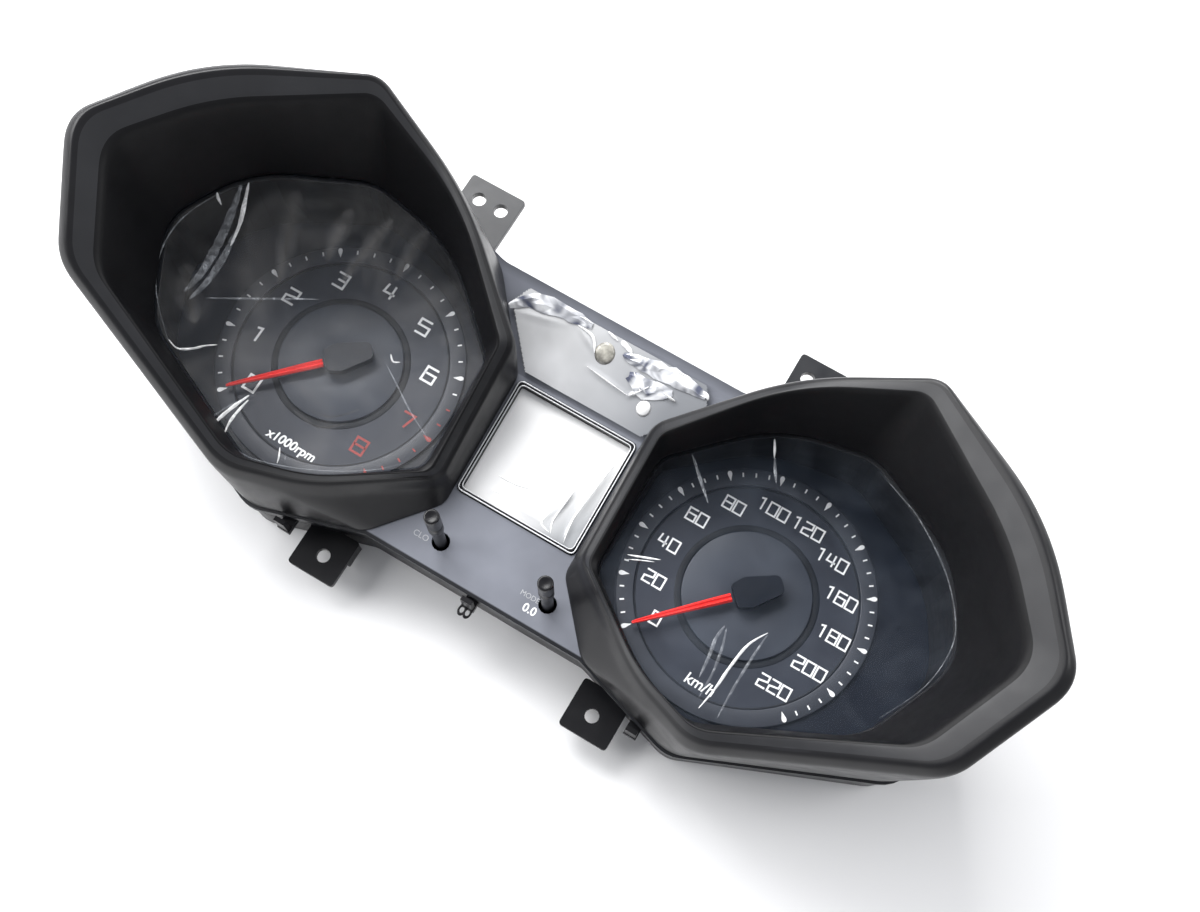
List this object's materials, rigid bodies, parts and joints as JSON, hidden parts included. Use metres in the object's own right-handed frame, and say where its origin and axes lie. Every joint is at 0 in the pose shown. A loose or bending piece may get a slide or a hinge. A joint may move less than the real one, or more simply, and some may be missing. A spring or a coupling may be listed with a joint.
{
  "type": "instrument cluster",
  "caption": "Vehicle instrument cluster with hooded engine-speed and road-speed dials, a central display, a warning-lamp window, setting buttons and screw tabs.",
  "frame": {"origin": "middle of the cluster on the surface that its back cover rests on, between the two pointer shafts", "axes": "+X to the driver's right, +Y towards the top edge, +Z out of the dial faces"},
  "size_m": [0.3616, 0.1573, 0.1241],
  "materials": {
    "hood_plastic": "satin black moulding",
    "mask_plastic": "satin mid grey",
    "black_plastic": "fine-grained black",
    "dial_print": "printed slate blue with white scale",
    "white_plastic": "white light housing",
    "clear_plastic": "clear sheet under a protective film",
    "display_glass": "unlit display under a protective film",
    "pointer_red": "translucent red",
    "steel": "plated",
    "board": "green solder mask",
    "contact_metal": "gold-plated"
  },
  "bodies": {
    "cluster": {"back_cover": "black_plastic", "button_spring_left": "steel", "button_spring_right": "steel", "button_switch_left": "black_plastic", "button_switch_right": "black_plastic", "capacitor_left": "steel", "capacitor_right": "steel", "centre_disc_left": "dial_print", "centre_disc_right": "dial_print", "circuit_board": "board", "connector_pins": "contact_metal", "connector_socket": "black_plastic", "dial_face_left": "dial_print", "dial_face_right": "dial_print", "dial_surround_left": "black_plastic", "dial_surround_right": "black_plastic", "front_mask": "mask_plastic", "hood_left": "hood_plastic", "hood_right": "hood_plastic", "housing": "black_plastic", "lcd_backlight": "white_plastic", "lcd_bezel": "black_plastic", "lcd_glass": "display_glass", "lens_left": "clear_plastic", "lens_right": "clear_plastic", "light_guide_left": "white_plastic", "light_guide_right": "white_plastic", "processor": "black_plastic", "scale_ring_left": "dial_print", "scale_ring_right": "dial_print", "screw_1": "steel", "screw_2": "steel", "screw_3": "steel", "screw_4": "steel", "screw_5": "steel", "screw_6": "steel", "stepper_motor_left": "black_plastic", "stepper_motor_right": "black_plastic", "warning_buzzer": "black_plastic", "warning_light_box": "white_plastic", "warning_window": "clear_plastic"},
    "pointer_left": {"needle_left": "pointer_red", "hub_cap_left": "black_plastic", "needle_shaft_left": "steel"},
    "pointer_right": {"needle_right": "pointer_red", "hub_cap_right": "black_plastic", "needle_shaft_right": "steel"},
    "setting_button_left": {"button_left": "black_plastic"},
    "setting_button_right": {"button_right": "black_plastic"}
  },
  "joints": [
    {"name": "pointer_left_turn", "type": "hinge", "parent": "cluster", "child": "pointer_left", "pos_m": [-0.085, 0, 0.0436], "axis": [0, 0, 1], "range_deg": [-269.5, 0]},
    {"name": "pointer_right_turn", "type": "hinge", "parent": "cluster", "child": "pointer_right", "pos_m": [0.085, 0, 0.0436], "axis": [0, 0, 1], "range_deg": [-269.5, 0]},
    {"name": "button_left_press", "type": "slide", "parent": "cluster", "child": "setting_button_left", "axis": [0, 0, -1], "range_m": [0, 0.002], "stiffness_N_per_m": 400, "springref_m": -0.001, "deforming": ["button_spring_left"]},
    {"name": "button_right_press", "type": "slide", "parent": "cluster", "child": "setting_button_right", "axis": [0, 0, -1], "range_m": [0, 0.002], "stiffness_N_per_m": 400, "springref_m": -0.001, "deforming": ["button_spring_right"]}
  ]
}
